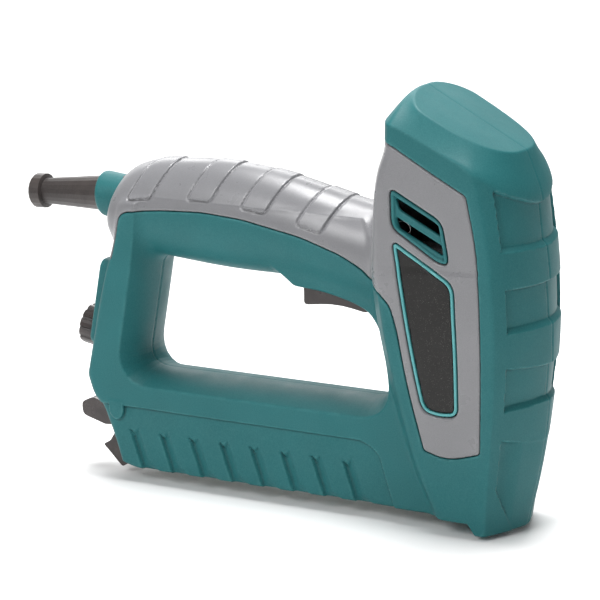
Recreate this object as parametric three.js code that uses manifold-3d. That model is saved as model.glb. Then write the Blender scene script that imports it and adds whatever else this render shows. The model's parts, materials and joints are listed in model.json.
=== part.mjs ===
// Mains electric staple gun, millimetres, +Z up.
// Origin: on the nose's work face, just behind the driver slot.
// +X runs to the front of the head, Y = 0 is the parting plane of the two housing halves.
import * as THREE from 'three';
import { mergeVertices } from 'three/addons/utils/BufferGeometryUtils.js';
import Module from 'manifold-3d';

const wasm = await Module();
wasm.setup();

// ---- driving dimensions -------------------------------------------------
const GAP = 0.3;              // clearance between separate pieces
const WALL = 3;               // housing wall
const GRIP_SKIN = 2.2;        // thickness of the soft grip over the housing
const HEAD_HALF = 33;         // half width of the head
const HEAD_FRONT = 17;        // front of the head
const HEAD_NOSE_DEPTH = 16;   // depth of the rounded front, along X
const HEAD_FOOT_HALF = 24.2;  // half width of the head at its foot
const BASE_HALF = 19;         // half width of the base and the columns
const HANDLE_HALF = { high: 22.7, wide: 18 };
const BASE_BOTTOM = 6.2;
const EDGE_ROUND = 2.4;       // rounding of the outside edges
const SOLENOID_X = -15;       // plunger axis
const YOKE = { x0: -37, x1: 7, z0: 58, z1: 116, plate: 3.5, half: 14 };
const COIL = { bore: 9.2, hub: 10.5, outer: 18.5, z0: 61.8, z1: 112.2, flange: 2 };
const PLUNGER = { r: 8, z0: 84, z1: 150, flangeR: 10.5, flangeZ: 3 };
const STROKE = 20.5;          // travel of the driver
const BLADE = { x: 2.4, thick: 0.8, wide: 10, tip: 21.2, top: 56 };
const NOSE = { x0: -1.8, x1: 3.1, half: 9, top: 29, slot: 0.7, slotHalf: 6, plate: 1.6 };
const MAG = { x0: -172, x1: -4, half: 8.6, z0: 6.4, z1: 21.6, sheet: 1 };
const RAIL = { x0: -168, x1: -5, half: 4.7, z0: 9, z1: 18.6, sheet: 1 };
const STAPLE = { half: 6.2, crown: 20.2, foot: 7.9, wire: 1.1, x0: -60, x1: -4.6 };
const PUSHER = { x0: -76, x1: -61 };
const ROD = { r: 1.2, z: 13 };
const SLOT_HALF = 9.3;        // half width of the magazine slot in the base
const TRIGGER_PIVOT = [-62, 92];
const REAR_TILT = Math.atan2(8, 47);   // lean of the rear face
const REAR_POINT = [-188.5, 66];       // a point on the rear face
const BOOT = { x: -190, z: 121.5, tilt: THREE.MathUtils.degToRad(3.3) };
const COLLAR_R = 9.8;
const SCREW = { head: 2.8, shank: 1.25, seat: 12, tip: -9 };
const SCREW_PLACES = [
  [-37, 158], [3, 141], [7.6, 35.2], [-40.5, 44], [-181, 40], [-150, 108], [-56, 116],
];
const MAGAZINE_STEP = 0.9;    // how far the lower side panel sits below the base's side
const GROOVES = { count: 8, first: -165.8, pitch: 14.6, top: 22.4, foot: 8.5, lean: 6.6, depth: 1 };

// ---- materials ------------------------------------------------------------
const plastic = (color, roughness) => new THREE.MeshStandardMaterial({ color, roughness, metalness: 0 });
const metal = (color, roughness) => new THREE.MeshStandardMaterial({ color, roughness, metalness: 1 });
const TEAL = plastic(0x1d5f63, 0.55);
const GRIP = plastic(0x7c7f85, 0.5);
const BLACK = plastic(0x1b1b1c, 0.5);
const RUBBER = plastic(0x2a2624, 0.7);
const STEEL = metal(0xb9bcbf, 0.35);
const SPRING = metal(0x9a9da0, 0.3);
const COPPER = metal(0xa5562c, 0.4);
const ZINC = metal(0xa9aaa4, 0.45);
const BOARD = plastic(0x1f4a30, 0.6);
const NYLON = plastic(0xd8d4c6, 0.5);
const LABEL = plastic(0x141414, 0.35);

// ---- shape helpers --------------------------------------------------------
function solid(geometry) {
  const bare = geometry.clone();
  bare.deleteAttribute('normal');
  bare.deleteAttribute('uv');
  const merged = mergeVertices(bare, 1e-4);
  return new wasm.Manifold(new wasm.Mesh({
    numProp: 3,
    vertProperties: new Float32Array(merged.attributes.position.array),
    triVerts: new Uint32Array(merged.index.array),
  }));
}

function geometryOf(manifold) {
  const mesh = manifold.getMesh();
  const geometry = new THREE.BufferGeometry();
  geometry.setAttribute('position', new THREE.BufferAttribute(mesh.vertProperties, 3));
  geometry.setIndex(new THREE.BufferAttribute(mesh.triVerts, 1));
  geometry.computeVertexNormals();
  return geometry;
}

// Outline from corners [x, y, radius]; a radius above 0 rounds the corner.
function outline(corners) {
  const shape = new THREE.Shape();
  const count = corners.length;
  corners.forEach(([x, y, radius = 0], i) => {
    const before = corners[(i + count - 1) % count];
    const after = corners[(i + 1) % count];
    const toward = ([px, py]) => {
      const length = Math.hypot(px - x, py - y);
      const step = Math.min(radius, length / 2.1) / length;
      return [x + (px - x) * step, y + (py - y) * step];
    };
    const start = toward(before);
    const end = toward(after);
    if (i === 0) shape.moveTo(...start);
    else shape.lineTo(...start);
    if (radius > 0) shape.quadraticCurveTo(x, y, ...end);
  });
  shape.closePath();
  return shape;
}

// Corners moved inwards by a distance (counter-clockwise outline).
function inset(corners, distance) {
  const count = corners.length;
  return corners.map(([x, y, radius = 0], i) => {
    const [ax, ay] = corners[(i + count - 1) % count];
    const [bx, by] = corners[(i + 1) % count];
    const inward = (px, py, qx, qy) => {
      const length = Math.hypot(qx - px, qy - py);
      return [-(qy - py) / length, (qx - px) / length];
    };
    const [nx, ny] = inward(ax, ay, x, y);
    const [mx, my] = inward(x, y, bx, by);
    const scale = distance / Math.max(0.3, 1 + nx * mx + ny * my);
    const convex = nx * my - ny * mx > 0;
    return [x + (nx + mx) * scale, y + (ny + my) * scale,
      radius && Math.max(0.5, convex ? radius - distance : radius + distance)];
  });
}

// Side-view (X, Z) outline, extruded across Y.
function acrossY(corners, y0, y1, bevel = 0, curveSegments = 3) {
  const geometry = new THREE.ExtrudeGeometry(outline(corners), {
    depth: y1 - y0 - 2 * bevel, curveSegments,
    bevelEnabled: bevel > 0, bevelSize: bevel, bevelThickness: bevel, bevelOffset: -bevel, bevelSegments: 2,
  });
  geometry.rotateX(Math.PI / 2);
  geometry.translate(0, y1 - bevel, 0);
  return solid(geometry);
}

// Plan-view (X, Y) outline, extruded up Z.
function upZ(corners, z0, z1, curveSegments = 3) {
  const geometry = new THREE.ExtrudeGeometry(outline(corners), {
    depth: z1 - z0, bevelEnabled: false, curveSegments,
  });
  geometry.translate(0, 0, z0);
  return solid(geometry);
}

// Front-view (Y, Z) outline, extruded along X.
function alongX(corners, x0, x1) {
  const geometry = new THREE.ExtrudeGeometry(outline(corners), {
    depth: x1 - x0, bevelEnabled: false, curveSegments: 3,
  });
  geometry.applyMatrix4(new THREE.Matrix4().makeBasis(
    new THREE.Vector3(0, 1, 0), new THREE.Vector3(0, 0, 1), new THREE.Vector3(1, 0, 0)));
  geometry.translate(x0, 0, 0);
  return solid(geometry);
}

function box(x0, x1, y0, y1, z0, z1) {
  const geometry = new THREE.BoxGeometry(x1 - x0, y1 - y0, z1 - z0);
  geometry.translate((x0 + x1) / 2, (y0 + y1) / 2, (z0 + z1) / 2);
  return solid(geometry);
}

// Turned piece about Z: profile of [radius, z], closed or from axis to axis.
function turned(profile, segments = 20) {
  const points = profile.map(([r, z]) => new THREE.Vector2(r, z));
  const geometry = new THREE.LatheGeometry(points, segments);
  geometry.rotateX(Math.PI / 2);
  return geometry;
}

function rod(r, z0, z1, segments = 16) {
  return turned([[0, z0], [r, z0], [r, z1], [0, z1]], segments);
}

function tube(inner, outer, z0, z1, segments = 20) {
  return turned([[inner, z0], [outer, z0], [outer, z1], [inner, z1], [inner, z0]], segments);
}

// Cylinder along Y through (x, z).
function pinY(x, z, r, y0, y1, segments = 12) {
  const geometry = rod(r, y0, y1, segments);
  geometry.rotateX(-Math.PI / 2);
  geometry.translate(x, 0, z);
  return solid(geometry);
}

// Cylinder along X through (y, z).
function pinX(y, z, r, x0, x1, segments = 12) {
  const geometry = rod(r, x0, x1, segments);
  geometry.rotateY(Math.PI / 2);
  geometry.translate(0, y, z);
  return solid(geometry);
}

class Helix extends THREE.Curve {
  constructor(radius, length, turns) {
    super();
    Object.assign(this, { radius, length, turns });
  }
  getPoint(t, target = new THREE.Vector3()) {
    const angle = t * this.turns * 2 * Math.PI;
    return target.set(this.radius * Math.cos(angle), this.radius * Math.sin(angle), t * this.length);
  }
}

// Coil spring up +Z from z = 0: outer radius, free length, wire radius.
function spring(radius, length, wire, turns, perTurn = 9) {
  const section = new THREE.Shape();
  section.absarc(0, 0, wire, 0, 2 * Math.PI);
  return new THREE.ExtrudeGeometry(section, {
    steps: turns * perTurn, curveSegments: 2, bevelEnabled: false,
    extrudePath: new Helix(radius - wire, length - 2 * wire, turns),
  }).translate(0, 0, wire);
}

function lead(points, radius) {
  const section = new THREE.Shape();
  section.absarc(0, 0, radius, 0, 2 * Math.PI);
  return new THREE.ExtrudeGeometry(section, {
    steps: 14, curveSegments: 3, bevelEnabled: false,
    extrudePath: new THREE.CatmullRomCurve3(points.map((p) => new THREE.Vector3(...p))),
  });
}

const mirrored = (shape) => shape.mirror([0, 1, 0]);
const union = (...shapes) => shapes.reduce((sum, shape) => sum.add(shape));

// ---- the outer form -------------------------------------------------------
const HEAD_SIDE = [
  [-14, BASE_BOTTOM, 1], [-5.7, BASE_BOTTOM, 1], [-3, 1.5, 1], [9.6, 1.5, 2], [14.4, 40, 25],
  [HEAD_FRONT, 85, 30], [13.2, 140, 10], [6.5, 156.6, 4], [-36, 179, 5], [-45.5, 172, 5],
  [-45.5, 158, 4], [-52, 148, 6], [-52, 112, 6], [-44.3, 97, 8], [-36.7, 64, 20], [-24.7, 24.6, 10],
];
const COLUMNS_SIDE = [
  [-179, 124, 8], [-184, 92, 20], [-192, 45, 5], [-190, 34, 4], [-183.5, 31, 4],
  [-174, BASE_BOTTOM, 4], [-12, BASE_BOTTOM, 0], [-12, 112, 0], [-60, 112, 0], [-60, 89, 0],
  [-52, 88, 9], [-47, 47, 8], [-172.5, 46.8, 10], [-162.5, 97, 7], [-165, 122, 4],
];
const HANDLE_TRIM = [
  [-183.5, 96, 6], [-20, 80, 0], [-20, 150, 0], [-160, 150, 0], [-174, 136, 8], [-183.5, 118, 10],
];
const HANDLE_PATH = [[-190, 116], [-150, 118.4], [-120, 118.3], [-95, 116], [-72, 112], [-40, 104]];
const CHEEK_SIDE = [[-104, 112], [-96, 97, 3], [-91, 92.4, 3], [-66, 89, 4], [-56, 86], [-56, 112]];
const NECK_SIDE = [[-78, 112], [-40, 104], [-40, 144], [-52, 143, 5], [-60, 135, 6], [-78, 131, 5]];
const GRIP_SIDE = [
  [-195, 98, 0], [-178.7, 100, 2], [-171, 118, 3], [-152, 120.3, 5], [-132, 121.2, 5], [-113, 120, 8],
  [-86, 115.2, 8], [-63, 107, 8], [-51.4, 97, 5], [-43.3, 92, 3], [-37.7, 93, 2], [-30.7, 61, 10],
  [-22.8, 36.5, 3], [-12.6, 34.7, 3], [2.1, 37.9, 3], [0.7, 99.7, 20], [-5.9, 141.8, 3],
  [-21, 149.7, 3], [-40, 161, 2], [-60, 161, 0], [-64, 152, 0], [-195, 152, 0],
];
const VENT_SIDE = [[-38.8, 127, 3], [-14, 114, 2], [-15.5, 130.5, 2], [-38.8, 142, 2]];
const STEP_SIDE = [[-200, -5], [-41, -5], [-41, 4], [-49, 28.5, 3], [-56, 33.4, 5], [-200, 33.8]];
const LABEL_SIDE = [
  [-37.5, 119.5, 2], [-26, 60.5, 6], [-22.6, 52.6, 3], [-8.6, 52.4, 3], [-10.6, 105.5, 3],
];

function headSolid(d) {
  const arc = [];
  const steps = 6;
  for (let i = -steps; i <= steps; i++) {
    const angle = (i / steps) * Math.PI / 2;
    arc.push([
      HEAD_FRONT - HEAD_NOSE_DEPTH + (HEAD_NOSE_DEPTH - d) * Math.cos(angle), (HEAD_HALF - d) * Math.sin(angle)]);
  }
  const back = HEAD_HALF - d;
  const plan = [...arc, [-36, back], [-46 + d, back - 6], [-52 + d, back - 15],
    [-52 + d, 15 - back], [-46 + d, 6 - back], [-36, -back]];
  const foot = HEAD_FOOT_HALF - d;
  const crown = [[-29 + d, 179 - d], [-back, 152], [-back, 100], [-back + 4, 50], [-foot, -2],
    [foot, -2], [back - 4, 50], [back, 100], [back, 152], [29 - d, 179 - d], [0, 181.5 - d]];
  return acrossY(inset(HEAD_SIDE, d), -40, 40)
    .intersect(upZ(plan, -5, 190))
    .intersect(alongX(crown, -60, 20));
}

function handleSolid(d) {
  const section = new THREE.Shape();
  section.absellipse(0, 0, HANDLE_HALF.high - d, HANDLE_HALF.wide - d, 0, 2 * Math.PI);
  const path = new THREE.CatmullRomCurve3(HANDLE_PATH.map(([x, z]) => new THREE.Vector3(x, 0, z)));
  const sweep = solid(new THREE.ExtrudeGeometry(section, {
    steps: 9, curveSegments: 6, bevelEnabled: false, extrudePath: path,
  }));
  return sweep.intersect(acrossY(inset(HANDLE_TRIM, d), -30, 30));
}

// The whole outer form, set in by a distance; only the outside itself has rounded edges.
function outerForm(d) {
  const round = d > 0 ? 0 : EDGE_ROUND;
  return union(
    headSolid(d), handleSolid(d),
    acrossY(inset(COLUMNS_SIDE, d), -BASE_HALF + d, BASE_HALF - d, round),
    acrossY(inset(CHEEK_SIDE, d), -13 + d, 13 - d, round),
    acrossY(inset(NECK_SIDE, d), -16 + d, 16 - d, round));
}

// ---- housing and grips ----------------------------------------------------
const bootPlace = new THREE.Matrix4()
  .makeTranslation(BOOT.x, 0, BOOT.z)
  .multiply(new THREE.Matrix4().makeRotationY(-Math.PI / 2 - BOOT.tilt));
const bootSolid = (geometry) => solid(geometry.clone().applyMatrix4(bootPlace));

const rearPlace = new THREE.Matrix4()
  .makeTranslation(REAR_POINT[0], 0, REAR_POINT[1])
  .multiply(new THREE.Matrix4().makeRotationY(-Math.PI / 2 + REAR_TILT));
// Pieces on the rear face: local +Z points out of the face, local +X up the face.
const rearSolid = (geometry) => solid(geometry.clone().applyMatrix4(rearPlace));
function rearBox(up0, up1, y0, y1, out0, out1) {
  const geometry = new THREE.BoxGeometry(up1 - up0, y1 - y0, out1 - out0);
  geometry.translate((up0 + up1) / 2, (y0 + y1) / 2, (out0 + out1) / 2);
  return rearSolid(geometry);
}

function cavities() {
  const wide = YOKE.half + 1;
  return union(
    headSolid(WALL + GRIP_SKIN),
    handleSolid(WALL + GRIP_SKIN),
    box(YOKE.x0 - 2, 0, -wide, wide, 30, YOKE.z1 + 1),
    acrossY([[-176.5, 114], [-180.6, 90], [-187.6, 51], [-187.4, 42], [-184, 35], [-164, 35], [-164, 43.5],
      [-170, 43.5], [-176.2, 50], [-166.2, 92], [-164.5, 103], [-164.5, 114]], -14.5, 14.5),
    box(-165, -24, -14.5, 14.5, 25.3, 43.5),
    box(-164, -34, 11.3, 15.4, 10, 27),
    box(-164, -34, -15.4, -11.3, 10, 27),
    box(-200, 0, -SLOT_HALF, SLOT_HALF, -5, 22.3),
    box(-32, NOSE.x0 + 1, -13, 13, 22, 34),
    box(NOSE.x0 - 0.5, NOSE.x1 + GAP * 2 + NOSE.plate + 0.3, -NOSE.half - 0.5, NOSE.half + 0.5, -5, 30.5),
    box(-93, -56.5, -7, 7, 78, 108),
    box(-205, -174, -7.8, 7.8, 16, 31.5),
  );
}

function bosses() {
  return SCREW_PLACES.map(([x, z]) => pinY(x, z, 4.4, -30, 30, 10)).reduce((a, b) => a.add(b));
}

function screwHoles() {
  return SCREW_PLACES.map(([x, z]) => union(
    pinY(x, z, SCREW.shank + 0.25, SCREW.tip - 1, 14, 8),
    pinY(x, z, SCREW.head + 0.3, SCREW.seat - GAP, 45, 10)))
    .reduce((a, b) => a.add(b));
}

// The recessed lower side panels and the slanted grooves in them.
function grooveCuts() {
  const step = acrossY(STEP_SIDE, -30, -BASE_HALF + MAGAZINE_STEP);
  const cuts = [step, mirrored(step)];
  for (let i = 0; i < GROOVES.count; i++) {
    const x = GROOVES.first + i * GROOVES.pitch;
    const cut = acrossY([
      [x - 2.2, GROOVES.top + 0.6], [x + GROOVES.lean - 1.6, GROOVES.foot],
      [x + GROOVES.lean + 3, GROOVES.foot], [x + 2.4, GROOVES.top]],
    -BASE_HALF - 1, -BASE_HALF + MAGAZINE_STEP + GROOVES.depth);
    cuts.push(cut, mirrored(cut));
  }
  return cuts.reduce((a, b) => a.add(b));
}

const collarOuter = bootSolid(rod(COLLAR_R, -12, 0, 20));
const bootBore = union(bootSolid(rod(5.5, -20, 5, 16)), bootSolid(rod(8.6, -21, -10.8, 16)));
const rearHoles = union(
  rearSolid(rod(3.4, -12, 6, 14).translate(-4.3, 0, 0)),
  rearBox(5.2, 24.8, -6.6, 6.6, -12, 6));
const ventHole = acrossY(VENT_SIDE, -45, -24);
const labelRecess = acrossY(inset(LABEL_SIDE, -GAP), -45, -5).subtract(headSolid(1.2));

const outer = outerForm(0);
const gripZone = acrossY(GRIP_SIDE, -40, 40);
const gripZoneWide = acrossY(inset(GRIP_SIDE, -GAP), -40, 40);
const underGrip = outerForm(GRIP_SKIN + GAP);
const trimmed = union(outer.subtract(gripZoneWide), underGrip, collarOuter);
const inside = cavities();
const housing = trimmed.subtract(inside)
  .add(bosses().intersect(outerForm(GRIP_SKIN + GAP)).subtract(box(-200, 30, -SLOT_HALF, SLOT_HALF, -5, 22.3)))
  .subtract(screwHoles())
  .subtract(bootBore).subtract(rearHoles)
  .subtract(grooveCuts())
  .subtract(union(ventHole, mirrored(ventHole), labelRecess, mirrored(labelRecess)));
const gripBoth = outer.intersect(gripZone)
  .subtract(outerForm(GRIP_SKIN))
  .subtract(bootSolid(rod(COLLAR_R + GAP, -14, 8, 20)))
  .subtract(screwHoles())
  .subtract(union(ventHole, mirrored(ventHole), labelRecess, mirrored(labelRecess)));

const PARTING = 0.15;
const leftOf = (shape) => shape.intersect(box(-260, 60, -60, -PARTING, -20, 220));
const rightOf = (shape) => shape.intersect(box(-260, 60, PARTING, 60, -20, 220));
// The largest connected body of a shape: loose slivers left by the cuts are dropped.
function largest(shape) {
  return shape.decompose().sort((a, b) => b.volume() - a.volume())[0];
}

// ---- group ----------------------------------------------------------------
const gun = new THREE.Group();
gun.name = 'staple_gun';

function add(name, shape, material) {
  const geometry = shape.isBufferGeometry ? shape : geometryOf(shape);
  const mesh = new THREE.Mesh(geometry, material);
  mesh.name = name;
  gun.add(mesh);
  return mesh;
}

add('left_housing', largest(leftOf(housing)), TEAL);
add('right_housing', largest(rightOf(housing)), TEAL);
add('left_grip', largest(leftOf(gripBoth)), GRIP);
add('right_grip', largest(rightOf(gripBoth)), GRIP);

// Vent grilles: a plate with two slanted slots, and the label plates below them.
const slotBelow = [[-36.6, 129.2], [-16.4, 116.8], [-16.4, 120], [-36.6, 132.4]];
const ventPlate = acrossY(inset(VENT_SIDE, GAP), -HEAD_HALF + 0.6, -HEAD_HALF + 5)
  .subtract(acrossY(slotBelow, -45, -20))
  .subtract(acrossY(slotBelow.map(([x, z]) => [x, z + 7]), -45, -20));
add('left_vent_grille', ventPlate, TEAL);
add('right_vent_grille', mirrored(ventPlate), TEAL);
const labelPlate = acrossY(LABEL_SIDE, -45, -5).intersect(headSolid(0)).subtract(headSolid(0.9));
add('left_label', labelPlate, LABEL);
add('right_label', mirrored(labelPlate), LABEL);

// Housing screws, all driven from the right-hand side.
SCREW_PLACES.forEach(([x, z], i) => {
  const geometry = turned([
    [0, SCREW.tip], [SCREW.shank, SCREW.tip], [SCREW.shank, SCREW.seat], [SCREW.head, SCREW.seat],
    [SCREW.head, SCREW.seat + 1.6], [0, SCREW.seat + 1.6]], 8);
  geometry.rotateX(-Math.PI / 2);
  const screw = add(`housing_screw_${i + 1}`, geometry, ZINC);
  screw.position.set(x, 0, z);
});

// ---- cable entry ----------------------------------------------------------
const bootGeometry = turned([
  [3.3, -13.5], [8.2, -13.5], [8.2, -11.2], [5.2, -11.2], [5.2, 0.3], [7.6, 0.3], [6.6, 14], [5.6, 29],
  [7.5, 29.5], [7.5, 34], [6.6, 35], [3.3, 35], [3.3, -13.5]], 20);
add('strain_relief_boot', bootGeometry.applyMatrix4(bootPlace), RUBBER);
add('cable_clamp', acrossY([[-168, 121, 1], [-158, 121.6, 1], [-158, 125, 1], [-168, 124.4, 1]], -8, 8), NYLON);
add('lead_mains', solid(lead(
  [[-157, -4, 118], [-140, -6, 121], [-115, -6, 122], [-92, -5, 119], [-84, -3, 115]], 1.3)), BLACK);

// ---- trigger --------------------------------------------------------------
const [pivotX, pivotZ] = TRIGGER_PIVOT;
const triggerSide = [
  [-90.4, 84.2, 2], [-75, 86.2, 10], [-60.4, 83.6, 2.5], [-58.2, 96, 3], [-66, 98, 2], [-90.6, 98, 2],
];
add('trigger', acrossY(triggerSide, -6.4, 6.4, 0.8)
  .subtract(pinY(pivotX, pivotZ, 1.8, -10, 10)), BLACK);
add('trigger_pin', pinY(pivotX, pivotZ, 1.5, -6.9, 6.9), STEEL);
const triggerSpring = add('trigger_spring', solid(spring(3, 12.6, 0.5, 5, 8)), SPRING);
triggerSpring.position.set(-86, 0, 98.4);
add('trigger_switch', box(-80, -66, -5.2, 5.2, 104.4, 116), BLACK);
add('switch_button', box(-78.5, -75.5, -1.6, 1.6, 102.4, 104.1), NYLON);

// ---- rear controls --------------------------------------------------------
const knob = rod(8.7, 1.2, 9.6, 24).translate(-4.3, 0, 0);
const knobGrooves = [];
for (let i = 0; i < 12; i++) {
  const angle = (i / 12) * 2 * Math.PI;
  knobGrooves.push(rearSolid(
    rod(0.9, 3, 12, 6).translate(-4.3 + 8.9 * Math.cos(angle), 8.9 * Math.sin(angle), 0)));
}
add('dial_knob', rearSolid(knob).subtract(knobGrooves.reduce((a, b) => a.add(b)))
  .subtract(rearSolid(rod(2.9, -1, 7, 14).translate(-4.3, 0, 0))), BLACK);
add('dial_shaft', rearSolid(rod(2.6, -4.1, 6.6, 14).translate(-4.3, 0, 0)), STEEL);
add('potentiometer', rearSolid(rod(8, -10.4, -4.4, 16).translate(-4.3, 0, 0)), ZINC);
add('power_switch_body', rearBox(5.6, 24.4, -6.2, 6.2, -10.4, 0.8)
  .subtract(rearBox(7.2, 22.8, -5, 5, -5, 2)), BLACK);
const rockerShape = new THREE.ExtrudeGeometry(
  outline([[-7.2, -1.2, 1], [-7, 1.2, 0.8], [0, 1.4, 6], [7, 4.2, 0.8], [7.2, 0.4, 1], [0, -3.6, 3]]),
  { depth: 9.2, bevelEnabled: false, curveSegments: 3 });
rockerShape.rotateX(Math.PI / 2);
rockerShape.translate(15, 4.6, 0.2);
add('power_rocker', rearSolid(rockerShape), BLACK);
add('control_board', rearBox(-18, 24, -13, 13, -12.3, -10.8), BOARD);
add('board_capacitor', rearSolid(rod(3.5, -10.5, -4.2, 14).translate(-15, 8.5, 0)), BLACK);
add('lead_coil', solid(lead(
  [[-174, 6, 45.4], [-169, 6, 39], [-120, 7, 34], [-80, 7, 34], [-48, 8, 34.6], [-35, 10, 38.5], [-32, 10, 50]],
  1.3)), BLACK);

// ---- solenoid and driver --------------------------------------------------
const yokeFrame = acrossY([
  [YOKE.x0, YOKE.z0], [YOKE.x1, YOKE.z0], [YOKE.x1, YOKE.z1], [YOKE.x0, YOKE.z1]], -YOKE.half, YOKE.half)
  .subtract(box(YOKE.x0 + YOKE.plate, YOKE.x1 - YOKE.plate, -30, 30, YOKE.z0 + YOKE.plate, YOKE.z1 - YOKE.plate))
  .subtract(solid(rod(COIL.bore, 40, 130, 20).translate(SOLENOID_X, 0, 0)));
add('solenoid_yoke', yokeFrame, STEEL);
const bobbin = add('coil_bobbin', turned([
  [COIL.bore, COIL.z0], [COIL.outer, COIL.z0], [COIL.outer, COIL.z0 + COIL.flange],
  [COIL.hub, COIL.z0 + COIL.flange], [COIL.hub, COIL.z1 - COIL.flange],
  [COIL.outer, COIL.z1 - COIL.flange], [COIL.outer, COIL.z1], [COIL.bore, COIL.z1], [COIL.bore, COIL.z0]], 24), NYLON);
bobbin.position.x = SOLENOID_X;
const coil = add('coil_winding', tube(
  COIL.hub + GAP, COIL.outer - 1, COIL.z0 + COIL.flange + GAP, COIL.z1 - COIL.flange - GAP, 24), COPPER);
coil.position.x = SOLENOID_X;
const plunger = add('plunger', turned([
  [0, PLUNGER.z0], [PLUNGER.r, PLUNGER.z0], [PLUNGER.r, PLUNGER.z1], [PLUNGER.flangeR, PLUNGER.z1],
  [PLUNGER.flangeR, PLUNGER.z1 + PLUNGER.flangeZ], [0, PLUNGER.z1 + PLUNGER.flangeZ]], 20), STEEL);
plunger.position.x = SOLENOID_X;
const stem = add('driver_stem', rod(3, BLADE.top + GAP, PLUNGER.z0 - GAP, 12), NYLON);
stem.position.x = SOLENOID_X;
add('driver_carrier', box(SOLENOID_X - 6, BLADE.x - BLADE.thick / 2 - GAP, -6, 6, 50, BLADE.top), STEEL);
add('driver_blade', box(
  BLADE.x - BLADE.thick / 2, BLADE.x + BLADE.thick / 2, -BLADE.wide / 2, BLADE.wide / 2, BLADE.tip, BLADE.top), STEEL);
const returnSpring = add('return_spring', solid(spring(10.2, PLUNGER.z1 - YOKE.z1 - 0.6, 0.8, 6, 12)), SPRING);
returnSpring.position.set(SOLENOID_X, 0, YOKE.z1 + GAP);
add('bumper', box(-24, -6, -7, 7, 24, 29.2), RUBBER);

// ---- nose -----------------------------------------------------------------
add('nose_guide', box(NOSE.x0, NOSE.x1, -NOSE.half, NOSE.half, 0, NOSE.top)
  .subtract(box(BLADE.x - NOSE.slot, NOSE.x1 + 1, -NOSE.slotHalf, NOSE.slotHalf, -1, NOSE.top + 1))
  .subtract(box(NOSE.x0 - 1, NOSE.x1, -NOSE.slotHalf - 0.5, NOSE.slotHalf + 0.5, 7, 21)), STEEL);
add('nose_front_plate', box(
  NOSE.x1 + GAP, NOSE.x1 + GAP + NOSE.plate, -NOSE.half, NOSE.half, 0, NOSE.top), STEEL);
add('nose_bracket', box(-30, NOSE.x0 - GAP, -12, 12, 22.6, 23.7), STEEL);

// ---- magazine -------------------------------------------------------------
add('magazine_channel', box(MAG.x0, MAG.x1, -MAG.half, MAG.half, MAG.z0, MAG.z1)
  .subtract(box(MAG.x0 - 1, MAG.x1 + 1, -MAG.half + MAG.sheet, MAG.half - MAG.sheet, MAG.z0 + MAG.sheet, 40)),
STEEL);
add('staple_rail', box(RAIL.x0, RAIL.x1, -RAIL.half, RAIL.half, RAIL.z0, RAIL.z1)
  .subtract(box(RAIL.x0 - 1, RAIL.x1 + 1, -RAIL.half + RAIL.sheet, RAIL.half - RAIL.sheet, 0, RAIL.z1 - RAIL.sheet)),
STEEL);
add('pusher', box(PUSHER.x0, PUSHER.x1, -6.2, 6.2, 7.7, 20.6)
  .subtract(box(-90, -50, -RAIL.half - GAP, RAIL.half + GAP, RAIL.z0 - GAP, RAIL.z1 + GAP)
    .subtract(box(-90, -50, -3.3, 3.3, 0, 16.5)))
  .subtract(pinX(0, ROD.z, ROD.r + 0.25, -90, -50)), BLACK);
add('guide_rod', pinX(0, ROD.z, ROD.r, -167, -12), STEEL);
const pusherSpring = spring(2.9, 88, 0.35, 14, 6);
pusherSpring.rotateY(Math.PI / 2);
const pusherSpringMesh = add('pusher_spring', solid(pusherSpring), SPRING);
pusherSpringMesh.position.set(PUSHER.x0 - 88.5, 0, ROD.z);
add('staple_strip', box(STAPLE.x0, STAPLE.x1, -STAPLE.half, STAPLE.half, STAPLE.foot, STAPLE.crown)
  .subtract(box(-80, 10, -STAPLE.half + STAPLE.wire, STAPLE.half - STAPLE.wire, 0, STAPLE.crown - STAPLE.wire)),
ZINC);
add('magazine_end', acrossY([
  [-172.4, 7], [-172.4, 21], [-181, 20, 2], [-184.5, 14, 1], [-188, 12, 1], [-178.5, 3, 1]], -7.4, 7.4)
  .subtract(acrossY([[-180, 6.4], [-178, 14], [-181, 24], [-192, 24], [-186.4, 12.6]], -6, 6)), BLACK);
const latchPivot = [-182, 25];
add('release_latch', acrossY([
  [-176, 24, 1], [-180, 21.6, 2], [-187, 20.8, 1], [-198.4, 24, 2], [-199, 29.6, 2], [-193, 32.4, 2],
  [-187, 30, 3], [-179, 29.6, 1], [-176, 28, 0.5]], -7.2, 7.2)
  .subtract(pinY(...latchPivot, 1.6, -10, 10)), BLACK);
add('latch_pin', pinY(...latchPivot, 1.3, -7.4, 7.4), STEEL);

export default gun;
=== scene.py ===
"""Looks for the mains electric staple gun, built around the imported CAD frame.

Every moulded piece is a solid described by a distance field in millimetres (negative inside),
turned into a mesh by a surface net, pulled onto the field and shaded by its gradient.
X runs to the front of the head, Z up from the work face, Y = 0 is the parting plane.
"""
import functools
import json
import math

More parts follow.
